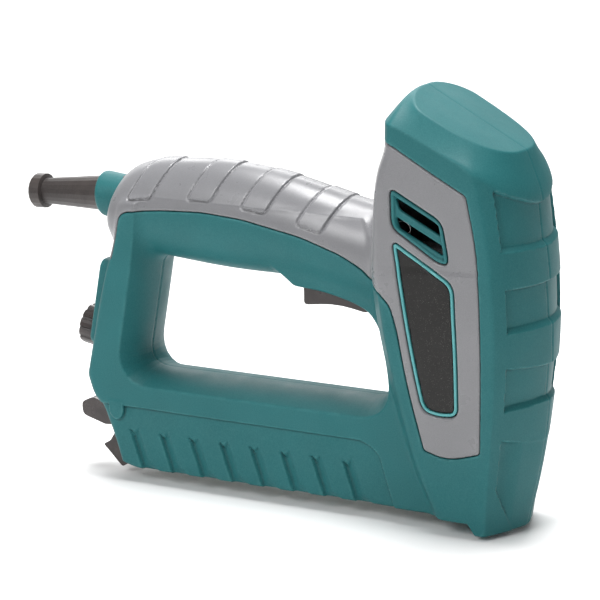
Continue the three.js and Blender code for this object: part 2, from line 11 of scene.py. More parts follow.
import bpy
import numpy as np
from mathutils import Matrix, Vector


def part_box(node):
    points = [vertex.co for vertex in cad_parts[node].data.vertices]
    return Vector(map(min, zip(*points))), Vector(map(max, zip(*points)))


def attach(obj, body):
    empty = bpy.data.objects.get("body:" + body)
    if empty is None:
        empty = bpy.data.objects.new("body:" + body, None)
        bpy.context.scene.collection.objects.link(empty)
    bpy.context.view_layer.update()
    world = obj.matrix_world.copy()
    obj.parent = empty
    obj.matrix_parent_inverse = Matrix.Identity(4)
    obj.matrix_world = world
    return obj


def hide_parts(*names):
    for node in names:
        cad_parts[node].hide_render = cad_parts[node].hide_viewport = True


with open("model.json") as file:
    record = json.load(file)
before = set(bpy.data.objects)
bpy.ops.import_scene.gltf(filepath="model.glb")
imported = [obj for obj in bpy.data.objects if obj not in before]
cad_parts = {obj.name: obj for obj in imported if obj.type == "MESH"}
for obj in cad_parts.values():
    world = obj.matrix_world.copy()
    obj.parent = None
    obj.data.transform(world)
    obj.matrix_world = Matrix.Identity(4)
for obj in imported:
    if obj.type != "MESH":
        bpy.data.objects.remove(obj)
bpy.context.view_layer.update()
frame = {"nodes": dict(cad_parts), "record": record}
MM = 0.001

# ---- driving dimensions, mm --------------------------------------------------
BASE_BOTTOM = 6.2          # underside of the plastic base
BASE_HALF = 19.0           # half width of the base above the step
CHEEK_HALF = 11.0          # half width of the trigger guard under the handle
HANDLE_HALF = 18.0         # half width of the handle
OPENING_CROWN = 5.5        # how far the walls of the finger opening bulge at the parting plane
REAR_CROWN = 3.8           # how far the rear face bulges at the parting plane
STEP_DEPTH = 1.7           # recess of the magazine panel below the side of the base
REAR_SLOPE = math.atan2(8, 47)
REAR_POINT = np.array([-188.5, 66.0])
GAP = 0.12                 # half of the gap between two shells
SEAM = dict(depth=0.35, width=0.5)   # groove along the parting plane
SHELL = 2.4                # depth to which the shell edges are kept
BOOT_START = (-190.0, 121.5)   # (x, z) of the middle of the collar's face
BOOT_TILT = math.radians(3.3)
COLLAR = dict(radius=9.9, bore=5.6, half_length=7.0, edge=2.4)

# Side-view curves (X or Z, value) of the head and the handle.
HEAD_FRONT = [(-5, 8), (1.4, 9.8), (12, 12), (22, 14.4), (35, 16.6), (45, 17.6), (58, 18.6), (70, 19.3),
              (88, 19.1), (105, 17.7), (121, 15.7), (138, 13.6), (150, 12.6), (190, 12)]
HEAD_HALF = [(-5, 23.6), (0, 24), (25, 26.6), (50, 29), (75, 31.2), (100, 32.5), (190, 33)]
# Where the sides of the head turn into its front.
HEAD_CREASE = [(0, -0.5), (20, 0.6), (35, 1.8), (50, 3), (80, 4.2), (105, 2.4), (123, -2.6), (141, -9.4),
               (160, -17.6), (190, -22)]
# How rounded the front is in plan, up the head: 1 is a straight-sided wedge, 2 an ellipse.
PROW = [(0, 1.15), (30, 1.18), (50, 1.3), (80, 1.45), (105, 1.6), (125, 1.85), (141, 2), (190, 2)]
CAP_RIDGE = [(-60, 168.6), (-40, 168.6), (-32, 165.4), (-18, 158.8), (-1.5, 151.6), (6, 146),
             (13, 141), (20, 140)]
NOSE_TIP = 1.5             # rounding of the nose at the parting plane
NOSE_SPREAD = 1.03         # the nose is this much wider than the sides that cut it off
CAP_FACET = dict(height=156.8, start=6.5, slope=0.53, crown=2.3, half=28.5)
# Plan of the slanted cap facet; fullness is the power of the superellipse at its front.
CAP_OVAL = dict(centre=-27.0, front=33.4, rear=10.6, half=26.0, fullness=2.6)
CAP_PLANE_NORMAL = 0.883   # Z part of the facet's unit normal
STEEPEST = 1.06            # slope of the head's field where the band leans most
HEAD_REAR_LOW = [(0, -17), (9, -20), (24.6, -26.5), (39, -30.8), (64, -37), (97, -43.2), (130, -45)]
HEAD_REAR_HIGH = [(90, -43), (110, -43), (139, -42), (148, -40.6), (156, -37.5), (162, -37), (190, -37)]
HEAD_REAR_ROUND = 10.5     # reach of the rounded upper rear
REAR_SLANT = dict(normal=(0.79, 0.61), reach=8.0)      # chamfers at the lower rear, above the base
REAR_CHANGE = (95, 112)    # heights between which the chamfers give way to the rounded rear
FOOT_STEP = ([-6.2, -3.2], [BASE_BOTTOM, 1.5])         # x and z of the step down to the foot of the head
HANDLE_TOP = [(-195, 126), (-178, 134.6), (-172, 137.4), (-162, 139.3), (-148, 140.5), (-133, 141.3),
              (-119, 140.7), (-105, 139), (-91, 136.4), (-75, 132.4), (-60, 129.4), (-30, 126)]
HANDLE_BOTTOM = [(-195, 100), (-165, 98.4), (-149, 97.2), (-135, 96), (-118, 95.3), (-99, 95.5), (-80, 94),
                 (-60, 89), (-30, 80)]
GRIP_LINE = [(-171, 118), (-152, 120.2), (-132.7, 121.2), (-113.8, 120), (-86, 115.2), (-67.4, 109.5),
             (-57.7, 104.6), (-54.1, 100.6)]

# Side-view outlines as corners (x, z, radius).
BASE_OUTER = [(-172.5, 124, 6), (-174.4, 117, 4), (-183.6, 90, 20), (-192.4, 45, 3), (-188.8, 35, 4),
              (-184.6, 31, 3), (-174.4, BASE_BOTTOM, 2), (-8, BASE_BOTTOM, 0), (-8, 100, 0), (-48, 104, 0),
              (-60, 122, 0), (-160, 122, 0)]
OPENING = [(-168.6, 48.8, 11), (-49.2, 48.8, 9), (-51, 72, 20), (-56.5, 91, 7), (-50, 106, 0),
           (-60, 125, 0), (-158, 125, 0), (-160.5, 98, 12)]
HANDLE_END = [(-183.8, 112, 12), (-181, 102.4, 4), (-171, 97, 8), (-150, 60, 0), (-20, 60, 0),
              (-20, 170, 0), (-140, 170, 0), (-160, 142.5, 8), (-173.5, 137, 8), (-181, 124, 10)]
CHEEK = [(-100, 100, 0), (-97.6, 96.4, 3), (-93.4, 92.6, 2), (-78, 91.6, 12), (-61, 87.2, 8), (-55, 82, 4),
         (-50, 76, 0), (-40, 76, 0), (-40, 112, 0), (-100, 112, 0)]
STEP_OUTLINE = [(-190, 33.8, 0), (-56, 33.4, 5), (-49, 28.5, 3), (-41, 4, 0), (-41, -4, 0), (-190, -4, 0)]
TAB = [(-178, 36, 0), (-178, 29.8, 2.6), (-174, 26.6, 3), (-170.8, 29.8, 2.6), (-170.8, 36, 0)]
PANEL_FRONT = [(-43.2, 99.3, 1.5), (-38.4, 95, 3), (-35.4, 86, 6), (-31, 61, 12), (-24.6, 35.6, 1.5),
               (-14.2, 32.6, 14), (0.3, 37, 1.5), (1.9, 80, 20), (0.2, 118, 20), (-5.2, 142.2, 1.5),
               (-20.4, 150, 10), (-39.6, 160.6, 4), (-60, 161, 0), (-60, 175, 0), (-66, 150, 0)]
VENT = [(-38.4, 142.6, 3), (-15.6, 130.8, 4), (-12.2, 113.6, 4.5), (-17.4, 114.2, 3), (-37.8, 126.6, 4)]
LABEL = [(-37.4, 121.6, 3.5), (-10.2, 106, 4.5), (-8.8, 75, 10), (-9, 51.6, 4), (-18, 50.6, 8),
         (-25, 52.6, 5), (-29.4, 74, 20)]
LOUVRES = [[(-36.2, 138.8, 1.2), (-16.9, 129.4, 1.2), (-16.3, 124.9, 1.2), (-34.6, 134, 1.6)],
           [(-36, 131.2, 1.2), (-15.7, 121.2, 1.2), (-15.2, 117, 1.2), (-34.6, 126.4, 1.6)]]

# Surface detail.
GROOVES = dict(count=8, first=-166.6, pitch=14.6, top=23.2, lean=0.36, depth=1.5)
# Pockets on the front of the head: top and foot as (side, middle) heights, then their (side, middle) depth.
FRONT_PADS = [((144.7, 136.6), (119.9, 119.2), (1.7, 1.7)), ((105.3, 105.1), (87.2, 87.7), (1.7, 1.7)),
              ((73.3, 71.4), (54.7, 55.9), (1.7, 1.7)), ((42.9, 39.5), (22.0, -8.0), (1.7, 0.2))]
PAD_REACH = dict(curve=0.84, edge=0.83)                # width of the pockets, as a part of the head's
GRIP_PADS = dict(starts=(-162.0, -133.2, -107.6, -81.6), width=11.6, lean=0.44, foot=5.0, corner=2.0,
                 height=0.5, groove=0.4, groove_width=0.45)
REAR_PLATE = dict(middle=10.5, high=19.0, half=12.6, out=-3.0, thick=4.6)   # pad behind the rocker and dial

# Holes in the body, as half sizes about a centre.
MAGAZINE_SLOT = dict(half=9.3, front=-1.5, middle=8.0, high=14.3)
TRIGGER_SLOT = dict(half=7.0, centre=-74.8, long=18.3, middle=100.0, high=16.0)
NOSE_POCKET = dict(half=9.6, centre=1.5, long=4.1, top=20.0)
LATCH_MOUTH = dict(half=7.8, front=-174.0, middle=23.7, high=7.8)
BLADE_WAY = dict(half=6.0, centre=2.4, long=1.4, middle=22.0, high=6.0)
SCREW_SEAT = 11.8          # distance of the screw seats from the parting plane
SCREW_HOLE = 3.0           # radius of the screw wells in the right-hand half


# ---- distance-field helpers -----------------------------------------------------
def smin(a, b, k):
    """Smooth union of two fields; k is the size of the fillet."""
    h = np.clip(0.5 + 0.5 * (b - a) / k, 0, 1)
    return b + (a - b) * h - k * h * (1 - h)


def smax(a, b, k):
    """Smooth intersection; k is the size of the rounding."""
    return -smin(-a, -b, k)


def step_up(value, low, high):
    t = np.clip((value - low) / (high - low), 0, 1)
    return t * t * (3 - 2 * t)


def curve(knots, rounds=3):
    """A smooth function through a list of (place, value) knots, by cutting its corners."""
    points = np.array(knots, float)
    for _ in range(rounds):
        near = points[:-1] * 0.75 + points[1:] * 0.25
        far = points[:-1] * 0.25 + points[1:] * 0.75
        inner = np.stack([near, far], 1).reshape(-1, 2)
        points = np.vstack([points[:1], inner, points[-1:]])
    return lambda at: np.interp(at, points[:, 0], points[:, 1])


def outline(corners, arc=8):
    """Points of a closed outline whose corners (x, z, radius) are rounded."""
    points = []
    count = len(corners)
    for i, (x, z, radius) in enumerate(corners):
        here = np.array([x, z])
        before = np.array(corners[i - 1][:2]) - here
        after = np.array(corners[(i + 1) % count][:2]) - here
        if not radius:
            points.append(here)
            continue
        lengths = np.linalg.norm(before), np.linalg.norm(after)
        start = here + before * min(radius / lengths[0], 0.48)
        end = here + after * min(radius / lengths[1], 0.48)
        for t in np.linspace(0, 1, arc):
            points.append((1 - t) ** 2 * start + 2 * t * (1 - t) * here + t * t * end)
    return np.array(points)


def polygon(points, x, z):
    """Signed distance to a closed outline in the side view."""
    nearest = np.full(np.broadcast(x, z).shape, 1e9)
    sign = np.ones_like(nearest)
    for a, b in zip(points, np.roll(points, -1, 0)):
        edge = b - a
        length = edge @ edge
        if length < 1e-9:
            continue
        wx, wz = x - a[0], z - a[1]
        t = np.clip((wx * edge[0] + wz * edge[1]) / length, 0, 1)
        nearest = np.minimum(nearest, (wx - edge[0] * t) ** 2 + (wz - edge[1] * t) ** 2)
        above, below = z >= a[1], z < b[1]
        left = edge[0] * wz > edge[1] * wx
        sign = np.where((above & below & left) | (~above & ~below & ~left), -sign, sign)
    return sign * np.sqrt(nearest)


def elliptic(u, v, a, b, power=2.0):
    """First-order distance to the superellipse with half axes a and b."""
    along, across = np.abs(u) / a + 1e-5, np.abs(v) / b + 1e-5
    g = (along ** power + across ** power) ** (1 / power)
    slope = np.hypot((along / g) ** (power - 1) / a, (across / g) ** (power - 1) / b)
    return (g - 1) / slope


def slab(outline_distance, y, half, edge):
    """An outline extruded to +-half across Y, with edges rounded over the given size."""
    return smax(outline_distance, np.abs(y) - half, edge)


CURVES = {name: curve(knots) for name, knots in {
    "front": HEAD_FRONT, "half": HEAD_HALF, "crease": HEAD_CREASE, "prow": PROW, "rear_low": HEAD_REAR_LOW,
    "rear_high": HEAD_REAR_HIGH, "top": HANDLE_TOP, "bottom": HANDLE_BOTTOM, "grip": GRIP_LINE,
    "ridge": CAP_RIDGE}.items()}
SHAPES = {name: outline(corners) for name, corners in {
    "base": BASE_OUTER, "opening": OPENING, "handle_end": HANDLE_END, "cheek": CHEEK, "step": STEP_OUTLINE,
    "tab": TAB, "vent": VENT, "label": LABEL, "louvre_0": LOUVRES[0], "louvre_1": LOUVRES[1]}.items()}
HANDLE_SIDE = [(-196, 94, 0), (-176, 97, 2)] + [(x, z, 4) for x, z in GRIP_LINE]
SHAPES["grip"] = outline(HANDLE_SIDE + PANEL_FRONT + [(-196, 175, 0)])


# ---- the body ---------------------------------------------------------------------
def head(x, y, z):
    front, half, crease = CURVES["front"](z), CURVES["half"](z), CURVES["crease"](z)
    nose = elliptic(np.maximum(x - crease, 0), np.hypot(y, NOSE_TIP) - NOSE_TIP, front - crease,
                    half * NOSE_SPREAD, CURVES["prow"](z))
    plan = smax(nose, y - half, 1.0)

    rear = CURVES["rear_high"](z)
    round_rear = elliptic(np.maximum(rear - x, 0), y, HEAD_REAR_ROUND, half)
    rear = CURVES["rear_low"](z)
    back, side = REAR_SLANT["normal"]
    slant_rear = smax(-back * (x - rear) + side * (y - half), rear - REAR_SLANT["reach"] - x, 2)
    plan = smax(plan, slant_rear + (round_rear - slant_rear) * step_up(z, *REAR_CHANGE), 1.6)

    # The band under the cap runs from the plan of the head at the ridge to the oval of the facet.
    facet = CAP_FACET["height"] + (CAP_FACET["start"] - x) * CAP_FACET["slope"]
    facet = facet - CAP_FACET["crown"] * (y / CAP_FACET["half"]) ** 2
    ridge = CURVES["ridge"](x)
    rise = smax(np.minimum((z - ridge) / (facet - ridge), 1.3), 0 * z, 0.04 + 0.3 * step_up(x, -20, 8))
    at_front = x > CAP_OVAL["centre"]
    length = np.where(at_front, CAP_OVAL["front"], CAP_OVAL["rear"])
    fullness = np.where(at_front, CAP_OVAL["fullness"], 2.0)
    oval = elliptic(x - CAP_OVAL["centre"], y, length, CAP_OVAL["half"], fullness)
    plan = (plan + (oval - plan) * rise) / STEEPEST
    floor = np.interp(x, *FOOT_STEP) - z
    return smax(smax(plan, (z - facet) * CAP_PLANE_NORMAL, 0.5), floor, 1.6)


def handle(x, y, z):
    """An elliptic bar between the top and bottom curves, with a bowed rear end."""
    top, bottom = CURVES["top"](x), CURVES["bottom"](x)
    centre, high = (top + bottom) / 2, (top - bottom) / 2
    sweep = elliptic(z - centre, y, high, HANDLE_HALF)
    return smax(sweep, polygon(SHAPES["handle_end"], x, z) + 0.012 * y * y, 5)


def base(x, y, z):
    """Base, rear column and front wall: the outline less the finger opening, with the magazine step."""
    outer = polygon(SHAPES["base"], x, z) + REAR_CROWN * (y / BASE_HALF) ** 2 * step_up(-x, 164, 178)
    opening = polygon(SHAPES["opening"], x, z) - OPENING_CROWN * np.minimum(y / BASE_HALF, 1.2) ** 2
    side = y - BASE_HALF + STEP_DEPTH * step_up(-polygon(SHAPES["step"], x, z), -0.3, 0.4)
    return smax(smax(outer, side, 2.4), -opening, 0.6)


def tab(x, y, z):
    """The small rounded tongue on the side that covers the rear end of the step."""
    return slab(polygon(SHAPES["tab"], x, z), y, BASE_HALF + 0.2, 0.7)


def rear_local(x, z):
    """Coordinates on the rear face: how far up it, and how far out of it."""
    dx, dz = x - REAR_POINT[0], z - REAR_POINT[1]
    up = dx * math.sin(REAR_SLOPE) + dz * math.cos(REAR_SLOPE)
    out = -dx * math.cos(REAR_SLOPE) + dz * math.sin(REAR_SLOPE)
    return up, out


def rear_plate(x, y, z):
    up, out = rear_local(x, z)
    sides = smax(np.abs(up - REAR_PLATE["middle"]) - REAR_PLATE["high"], y - REAR_PLATE["half"], 4)
    return smax(sides, np.abs(out - REAR_PLATE["out"]) - REAR_PLATE["thick"], 1.0)


def grooves(x, z):
    """Depth of the slanted grooves on the side of the magazine housing."""
    depth = 0
    foot = z - GROOVES["top"]
    for i in range(GROOVES["count"]):
        across = x - (GROOVES["first"] + i * GROOVES["pitch"]) + GROOVES["lean"] * foot
        flare = 1 + 0.9 * step_up(-z, -11, -7.5)                  # wider towards the foot
        steep_wall = (across + 2.3) / 0.8
        ramp = (3.2 * flare - across) / (3.4 * flare)
        pointed_top = -(foot + 0.9 - 0.8 * np.abs(across)) / 1.6
        depth = np.maximum(depth, np.clip(np.minimum(np.minimum(steep_wall, ramp), pointed_top), 0, 1))
    return GROOVES["depth"] * depth


def front_pads(x, y, z):
    """Depth of the shallow pockets on the front of the head."""
    half = CURVES["half"](z)
    across = np.clip(y / (PAD_REACH["curve"] * half), 0, 1) ** 1.6
    depth = 0
    for (top_side, top_mid), (foot_side, foot_mid), (deep_side, deep_mid) in FRONT_PADS:
        top = top_mid + (top_side - top_mid) * across
        foot = foot_mid + (foot_side - foot_mid) * across
        ends = np.minimum((top - z) / 0.7, (z - foot) / 2.0)
        inside = np.minimum(ends, PAD_REACH["edge"] * half - y)
        deep = deep_mid + (deep_side - deep_mid) * step_up(across, 0.36, 0.8)
        depth = np.maximum(depth, deep * np.clip(inside, 0, 1))
    return depth * step_up(x, 1.5, 3.5)


def grip_pads(x, y, z):
    """Height of the pads that wrap over the handle: a raised field inside a fine engraved outline."""
    along = x + GRIP_PADS["lean"] * (CURVES["top"](x) - z)
    above = z - CURVES["grip"](x) - GRIP_PADS["foot"]
    half, corner = GRIP_PADS["width"] / 2, GRIP_PADS["corner"]
    height = 0
    for start in GRIP_PADS["starts"]:
        over = np.abs(along - start - half) - half + corner
        under = corner - above
        outside = np.hypot(np.maximum(over, 0), np.maximum(under, 0))
        inside = corner - outside - np.minimum(np.maximum(over, under), 0)
        groove = GRIP_PADS["groove"] * np.exp(-(inside / GRIP_PADS["groove_width"]) ** 2)
        height = height + (GRIP_PADS["height"] * step_up(inside, 0, 0.9) - groove)
    return height


def box_hole(hole, x, y, z, edge):
    """A rectangular hole between two ends in X, or behind a front end, and up to a top."""
    along = np.abs(x - hole["centre"]) - hole["long"] if "centre" in hole else x - hole["front"]
    up = np.abs(z - hole["middle"]) - hole["high"] if "middle" in hole else z - hole["top"]
    return smax(smax(y - hole["half"], along, edge), up, edge)


def holes(x, y, z):
    """The magazine slot, trigger slot, nose pocket, latch mouth and the way of the driver blade."""
    slot = smax(y - MAGAZINE_SLOT["half"], np.abs(z - MAGAZINE_SLOT["middle"]) - MAGAZINE_SLOT["high"], 0.5)
    cuts = [smax(slot, x - MAGAZINE_SLOT["front"], 0.5)]
    for hole, edge in ((TRIGGER_SLOT, 1), (NOSE_POCKET, 0.5), (LATCH_MOUTH, 0.5), (BLADE_WAY, 0.3)):
        cuts.append(box_hole(hole, x, y, z, edge))
    return functools.reduce(np.minimum, cuts)


def body(x, y, z):
    """The whole outer form with its surface detail, before it is parted into shells."""
    y = np.abs(y)
    guard = slab(polygon(SHAPES["cheek"], x, z), y, CHEEK_HALF, 2.5)
    form = smin(smin(head(x, y, z), base(x, y, z), 2), smin(handle(x, y, z), guard, 4), 5)
    form = smin(form, tab(x, y, z), 0.5)
    form = smin(form, rear_plate(x, y, z), 1.2)
    form = form + grooves(x, z) * step_up(y, 14, 16) * step_up(-x, 44, 50)
    form = form + front_pads(x, y, z) - grip_pads(x, y, z)
    seam = SEAM["depth"] * np.exp(-(y / SEAM["width"]) ** 2)
    return smax(form + seam, -holes(x, y, z), 0.8)


def boot_local(x, z):
    """Distance along the boot's axis from the collar face, and height above the axis."""
    dx, dz = x - BOOT_START[0], z - BOOT_START[1]
    along = -dx * math.cos(BOOT_TILT) - dz * math.sin(BOOT_TILT)
    above = dx * math.sin(BOOT_TILT) + dz * math.cos(BOOT_TILT)
    return along, above


def collar(x, y, z):
    """The ring at the rear of the handle that the strain relief boot goes into."""
    along, above = boot_local(x, z)
    ring = np.hypot(y, above)
    cone = ring - COLLAR["radius"] - 0.05 * np.minimum(along, 0)
    solid = smax(cone, np.abs(along + COLLAR["half_length"]) - COLLAR["half_length"], COLLAR["edge"])
    return smax(solid, COLLAR["bore"] - ring, 0.5)


def housing_field(x, y, z):
    return np.minimum(smax(body(x, y, z), GAP - polygon(SHAPES["grip"], x, z), 0.45), collar(x, y, z))


def grip_field(x, y, z):
    """The soft skin of the handle and head, open around the vent, the label and the collar."""
    region = np.maximum(polygon(SHAPES["grip"], x, z), GAP - polygon(SHAPES["vent"], x, z))
    region = np.maximum(region, GAP - polygon(SHAPES["label"], x, z))
    along, above = boot_local(x, z)
    around = GAP + COLLAR["radius"] - np.hypot(y, above) - 40 * step_up(-along, 12, 16)
    return smax(smax(body(x, y, z) + 0.1, region + GAP, 1.0), around, 0.6)


def vent_field(x, y, z):
    """The vent frame: a rounded rim round a recessed plate with two louvre slots."""
    region = polygon(SHAPES["vent"], x, z) + GAP * 2
    surface = body(x, y, z) + 0.35 + 0.75 * step_up(-region, 1.1, 1.9)
    slots = np.minimum(polygon(SHAPES["louvre_0"], x, z), polygon(SHAPES["louvre_1"], x, z))
    return smax(smax(surface, region, 0.8), -slots, 0.7)


def rim_field(x, y, z):
    """The bright rim round the label."""
    region = polygon(SHAPES["label"], x, z) + GAP * 2
    return smax(smax(body(x, y, z) + 0.2, region, 0.7), -(region + 1.25), 0.5)


def label_field(x, y, z):
    """The label plate, sunk inside its rim."""
    region = polygon(SHAPES["label"], x, z) + 1.65
    return smax(body(x, y, z) + 0.75, region, 0.3)


# ---- from field to mesh --------------------------------------------------------------
CORNERS = np.array([(i, j, k) for i in (0, 1) for j in (0, 1) for k in (0, 1)])
EDGES = [(a, b) for a in range(8) for b in range(a + 1, 8) if np.abs(CORNERS[a] - CORNERS[b]).sum() == 1]


def surface_net(values, low, step):
    """Vertices and quads of the zero level of a grid of field values."""
    cells = np.array(values.shape) - 1
    inside = values < 0
    count = sum(inside[i:i + cells[0], j:j + cells[1], k:k + cells[2]].astype(np.int8)
                for i, j, k in CORNERS)
    mixed = (count > 0) & (count < 8)
    place = np.argwhere(mixed)
    number = np.full(cells, -1)
    number[mixed] = np.arange(len(place))
    at = [values[tuple((place + corner).T)] for corner in CORNERS]
    total = np.zeros((len(place), 3))
    hits = np.zeros(len(place))
    for a, b in EDGES:
        cut = (at[a] < 0) != (at[b] < 0)
        t = at[a][cut] / (at[a][cut] - at[b][cut])
        total[cut] += CORNERS[a] + (CORNERS[b] - CORNERS[a]) * t[:, None]
        hits[cut] += 1
    vertices = low + step * (place + total / hits[:, None])
    quads = []
    for axis in range(3):
        turned = np.moveaxis(inside, axis, 0)
        cell = np.moveaxis(number, axis, 0)
        change = turned[:-1] != turned[1:]
        i, j, k = np.nonzero(change[:, 1:-1, 1:-1])
        j, k = j + 1, k + 1
        ring = np.stack([cell[i, j - 1, k - 1], cell[i, j, k - 1], cell[i, j, k], cell[i, j - 1, k]], 1)
        flip = ~turned[i, j, k] ^ (axis == 1)      # the ring turns the other way round Y
        ring[flip] = ring[flip][:, ::-1]
        quads.append(ring)
    quads = np.vstack(quads)
    return vertices, quads[(quads >= 0).all(1)]


def gradient(field, p, h=0.05):
    """Slope of the field at points, by central differences."""
    slope = np.empty_like(p)
    for axis in range(3):
        ahead, behind = p.copy(), p.copy()
        ahead[:, axis] += h
        behind[:, axis] -= h
        slope[:, axis] = (field(*ahead.T) - field(*behind.T)) / (2 * h)
    return slope


def settle(field, p, step, rounds=2):
    """Pulls points onto the zero level and returns them with the field's unit normals."""
    for _ in range(rounds):
        slope = gradient(field, p)
        length = np.maximum((slope ** 2).sum(1), 0.05)
        move = slope * (field(*p.T) / length)[:, None]
        far = np.maximum(np.linalg.norm(move, axis=1) / (0.5 * step), 1)
        p = p - move / far[:, None]
    slope = gradient(field, p, 0.12)
    return p, slope / np.maximum(np.linalg.norm(slope, axis=1), 1e-6)[:, None]


def mesh_object(name, vertices, faces, normals):
    mesh = bpy.data.meshes.new(name)
    mesh.from_pydata((vertices * MM).tolist(), [], faces.tolist())
    mesh.update()
    mesh.shade_smooth()
    mesh.normals_split_custom_set_from_vertices(normals.tolist())
    obj = bpy.data.objects.new(name, mesh)
    bpy.context.scene.collection.objects.link(obj)
    return obj


def sculpt(field, low, high, step, keep, half):
    """Mesh of a field inside a box, less the faces that keep refuses. half ends it at the parting plane."""
    low, high = np.array(low, float), np.array(high, float)
    if half:
        high[1] = step / 2
        low[1] = high[1] - step * math.ceil((high[1] - low[1]) / step)
    size = np.ceil((high - low) / step).astype(int) + 1
    x, y, z = (low[i] + step * np.arange(size[i]) for i in range(3))
    values = np.broadcast_to(field(x[:, None, None], y[None, :, None], z[None, None, :]), size)
    vertices, faces = surface_net(np.ascontiguousarray(values), low, step)
    faces = faces[keep(*vertices[faces].mean(1).T)]
    used = np.unique(faces)
    renumber = np.full(len(vertices), -1)
    renumber[used] = np.arange(len(used))
    vertices, faces = vertices[used], renumber[faces]
    middle = np.abs(vertices[:, 1]) < step * 0.05
    vertices, normals = settle(field, vertices, step)
    if half:
        vertices[middle, 1] = 0
        normals[middle, 1] = 0
    return vertices, faces, normals


def screw_places():
    """Axes (x, z) of the housing screws, from their CAD nodes."""
    for name in frame["nodes"]:
        if name.startswith("housing_screw"):
            low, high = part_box(name)
            yield np.array([(low.x + high.x) / 2, (low.z + high.z) / 2]) / MM


OUTSIDE_Y = 36.0           # beyond the widest part of the body


def surface_y(field, x, z):
    """Y of the outermost surface on the +Y side above points of the side view."""
    y = np.full(x.shape, OUTSIDE_Y)
    for _ in range(24):
        y = y - np.clip(field(x, y, z), -0.3, 2.5) * 0.9
    return y


WELL_SEGMENTS = 28


def drill(field, vertices, faces, normals, step):
    """Cuts the screw wells through the outer skin of the right-hand half and lines them."""
    segments = WELL_SEGMENTS
    reach = step * 0.62        # how far from the rim a vertex is pulled onto it
    angles = np.arange(segments) * 2 * np.pi / segments
    circle = np.stack([np.cos(angles), np.sin(angles)], 1)
    vertices, normals = vertices.copy(), normals.copy()
    keep = np.ones(len(faces), bool)
    walls, wall_faces, wall_normals = [], [], []
    for centre in screw_places():
        radial = vertices[:, [0, 2]] - centre
        radius = np.linalg.norm(radial, axis=1)
        outside = normals[:, 1] > 0.2
        if not (outside & (radius < SCREW_HOLE)).any():
            continue
        rim = centre + circle * SCREW_HOLE
        top = surface_y(field, *rim.T)
        if np.abs(field(rim[:, 0], top, rim[:, 1])).max() > 0.1:
            continue
        edge = outside & (np.abs(radius - SCREW_HOLE) < reach)
        vertices[np.ix_(edge, [0, 2])] = centre + radial[edge] / radius[edge][:, None] * SCREW_HOLE
        vertices[edge, 1] = surface_y(field, vertices[edge, 0], vertices[edge, 2])
        hole = (radius[faces] < SCREW_HOLE + reach).all(1) & outside[faces].all(1)
        keep &= ~hole
        levels = [top - 0.05, np.full(segments, SCREW_SEAT), np.full(segments, SCREW_SEAT)]
        start = len(vertices) + sum(map(len, walls))
        for level, spread in zip(levels, (1, 1, 0.3)):            # rim, seat edge, shank hole
            ring = centre + circle * SCREW_HOLE * spread
            walls.append(np.column_stack([ring[:, 0], level, ring[:, 1]]))
            inward = np.column_stack([-circle[:, 0], np.zeros(segments), -circle[:, 1]])
            wall_normals.append(inward if spread == 1 else np.tile([0.0, 1.0, 0.0], (segments, 1)))
        for level in (0, segments):
            for i in range(segments):
                j = (i + 1) % segments
                wall_faces.append([start + level + i, start + level + j,
                                   start + level + segments + j, start + level + segments + i])
    if not walls:
        return vertices, faces, normals
    faces = np.vstack([faces[keep], np.array(wall_faces)[:, ::-1]])
    return np.vstack([vertices] + walls), faces, np.vstack([normals] + wall_normals)


def both_sides(base_name, field, shape, step, material, nodes):
    """The left-hand piece and its mirror image, which has the screw wells."""
    vertices, faces, normals = shape
    flip = np.array([1, -1, 1])
    far = drill(field, vertices * flip, faces[:, ::-1], normals * flip, step)
    for side, (points, rings, directions) in (("left", shape), ("right", far)):
        piece = mesh_object(f"{side}_{base_name}", points, rings, directions)
        finish_piece(piece, material, "housing", [f"{side}_{n}" for n in nodes])


def finish_piece(piece, material, body_name, nodes):
    piece.data.materials.append(material)
    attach(piece, body_name)
    if nodes:
        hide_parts(*nodes)
    return piece


# ---- materials ----------------------------------------------------------------------
CONVEX_RANGE = (0.512, 0.56)     # pointiness from flat to a sharp convex edge
HOLLOW_RANGE = (0.488, 0.44)     # pointiness from flat to a sharp inside corner


